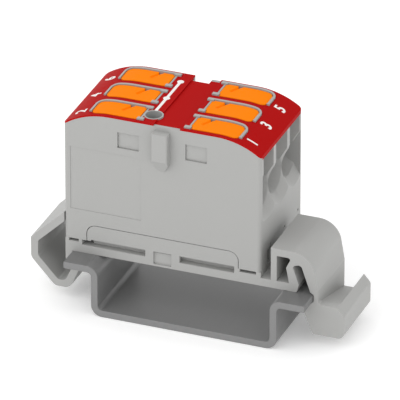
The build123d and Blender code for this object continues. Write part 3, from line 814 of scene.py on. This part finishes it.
class BLOCK_OT_clamp_springs(bpy.types.Operator):
    """Make the six leaf springs, each a bent strip of sheet steel in place of its CAD spring"""
    bl_idname = "block.clamp_springs"
    bl_label = "Clamp springs"

    keep: bpy.props.FloatProperty(
        name="Height kept", description="Share of a spring's height left when it is pushed",
        subtype="FACTOR", default=0.83, min=0.1, max=1.0)

    def execute(self, context):
        leaf = settings("spring_shape")
        tree = leaf_tree()
        for number, side, pole in WAYS:
            low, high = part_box(f"clamp_spring_{number}")
            tail_z = low.z + leaf.sheet / 2
            values = {"Tail X": BLOCK_MID + side * leaf.tail, "Tail Z": tail_z,
                      "Heel X": BLOCK_MID + side * leaf.heel, "Heel Z": tail_z + leaf.lift,
                      "Tip X": BLOCK_MID + side * leaf.tip, "Tip Z": high.z - leaf.sheet / 2,
                      "Place Y": pole, "Bend": leaf.bend, "Sheet": leaf.sheet,
                      "Width": leaf.width, "Steel": spring_steel()}
            name = f"clamp_leaf_{number}"
            piece = new_object(name, grown(name, tree, values))
            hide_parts(f"clamp_spring_{number}")
            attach(piece, "root")
            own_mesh(piece)
        return {"FINISHED"}


class BLOCK_OT_way_numbers(bpy.types.Operator):
    """Print a plain number at the end of each button"""
    bl_idname = "block.way_numbers"
    bl_label = "Way numbers"

    def execute(self, context):
        marks = settings("printed_marks")
        tree = number_tree()
        meshes = []
        for number, side, pole in WAYS:
            values = {"Number": number, "Height": marks.number_height,
                      "Weight": marks.number_bold,
                      "Place X": BLOCK_MID + side * marks.number_reach,
                      "Place Y": pole - marks.number_shift, **crown_values()}
            meshes.append(grown(f"number_{number}", tree, values))
        piece = merged("way_numbers", meshes)
        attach(piece, "root")
        return {"FINISHED"}


class BLOCK_OT_link_line(bpy.types.Operator):
    """Print the white line that shows the joined ways"""
    bl_idname = "block.link_line"
    bl_label = "Link line"

    def execute(self, context):
        marks = settings("printed_marks")
        values = {"Place X": BLOCK_MID - marks.line_place, "Start Y": POLES[0] + marks.line_start,
                  "First Dot Y": POLES[1], "Last Dot Y": POLES[2],
                  "Line Width": marks.line_width, "Dot Width": marks.dot_width,
                  **crown_values()}
        piece = new_object("link_line", grown("link_line", link_tree(), values))
        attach(piece, "root")
        return {"FINISHED"}


class BLOCK_OT_stage(bpy.types.Operator):
    """Set the floor, the soft light and the camera at the photograph's angle"""
    bl_idname = "block.stage"
    bl_label = "Stage"

    floor_size: bpy.props.FloatProperty(
        name="Floor size", description="Side of the square floor", subtype="DISTANCE",
        unit="LENGTH", default=6.0, min=0.1)

    def execute(self, context):
        studio = settings("studio_setup")
        self.lay_floor(studio)
        self.hang_lights(studio)
        self.place_camera(studio)
        return {"FINISHED"}

    def lay_floor(self, studio):
        half = self.floor_size / 2
        mesh = bpy.data.meshes.new("floor")
        corners = [(-half, -half, 0), (half, -half, 0), (half, half, 0), (-half, half, 0)]
        mesh.from_pydata(corners, [], [(0, 1, 2, 3)])
        floor = new_object("floor", mesh)
        paint = bpy.data.materials.new("Floor")
        paint.use_nodes = True
        shader = paint.node_tree.nodes["Principled BSDF"]
        shader.inputs["Base Color"].default_value = opaque(studio.floor)
        shader.inputs["Roughness"].default_value = 0.9
        shader.inputs["Specular IOR Level"].default_value = 0.1
        shader.inputs["Emission Color"].default_value = (1, 1, 1, 1)
        shader.inputs["Emission Strength"].default_value = studio.floor_glow
        mesh.materials.append(paint)

    def hang_lights(self, studio):
        scene = bpy.context.scene
        scene.world = scene.world or bpy.data.worlds.new("World")
        scene.world.use_nodes = True
        sky = scene.world.node_tree.nodes["Background"]
        sky.inputs["Color"].default_value = (1, 1, 1, 1)
        sky.inputs["Strength"].default_value = studio.sky
        lamp = bpy.data.lights.new("key", "AREA")
        lamp.shape = "DISK"
        lamp.size = studio.key_size
        lamp.energy = studio.key
        light = bpy.data.objects.new("key", lamp)
        scene.collection.objects.link(light)
        light.location = studio.key_place
        aim = Vector(studio.aim) - light.location
        light.rotation_euler = aim.to_track_quat("-Z", "Y").to_euler()

    def place_camera(self, studio):
        scene = bpy.context.scene
        lens = bpy.data.cameras.new("photograph")
        lens.lens = studio.lens
        lens.sensor_width = 36.0
        lens.clip_start, lens.clip_end = 0.05, 20.0
        camera = bpy.data.objects.new("photograph", lens)
        scene.collection.objects.link(camera)
        level = math.cos(studio.elevation)
        away = Vector((math.sin(studio.azimuth) * level, -math.cos(studio.azimuth) * level,
                       math.sin(studio.elevation)))
        camera.location = Vector(studio.aim) + away * studio.distance
        camera.rotation_euler = (-away).to_track_quat("-Z", "Y").to_euler()
        scene.camera = camera
        scene.view_settings.view_transform = "Standard"


class BLOCK_PT_looks(bpy.types.Panel):
    """Lists the pieces in the sidebar"""
    bl_idname = "BLOCK_PT_looks"
    bl_label = "Distribution block"
    bl_space_type = "VIEW_3D"
    bl_region_type = "UI"
    bl_category = "Block"

    def draw(self, context):
        for name in GROUPS:
            group = getattr(context.scene, name)
            box = self.layout.box()
            for label in group.__annotations__:
                box.prop(group, label)
        for operator in OPERATORS:
            self.layout.operator(operator.bl_idname)


GROUPS = {"block_finish": BlockFinish, "printed_marks": PrintedMarks,
          "crown_shape": CrownShape, "spring_shape": SpringShape, "studio_setup": StudioSetup}
OPERATORS = (BLOCK_OT_grey_mouldings, BLOCK_OT_latch_legs, BLOCK_OT_cover, BLOCK_OT_buttons,
             BLOCK_OT_metal_parts, BLOCK_OT_clamp_springs, BLOCK_OT_way_numbers,
             BLOCK_OT_link_line, BLOCK_OT_stage)
CLASSES = (*GROUPS.values(), *OPERATORS, BLOCK_PT_looks)


def register():
    for kind in CLASSES:
        bpy.utils.register_class(kind)
    for name, kind in GROUPS.items():
        setattr(bpy.types.Scene, name, bpy.props.PointerProperty(type=kind))


def unregister():
    for name in GROUPS:
        delattr(bpy.types.Scene, name)
    for kind in reversed(CLASSES):
        bpy.utils.unregister_class(kind)


def main():
    """Make every piece and the stage."""
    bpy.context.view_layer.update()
    register()
    for kind in OPERATORS:
        family, action = kind.bl_idname.split(".")
        getattr(getattr(bpy.ops, family), action)()


if __name__ == "__main__":
    main()
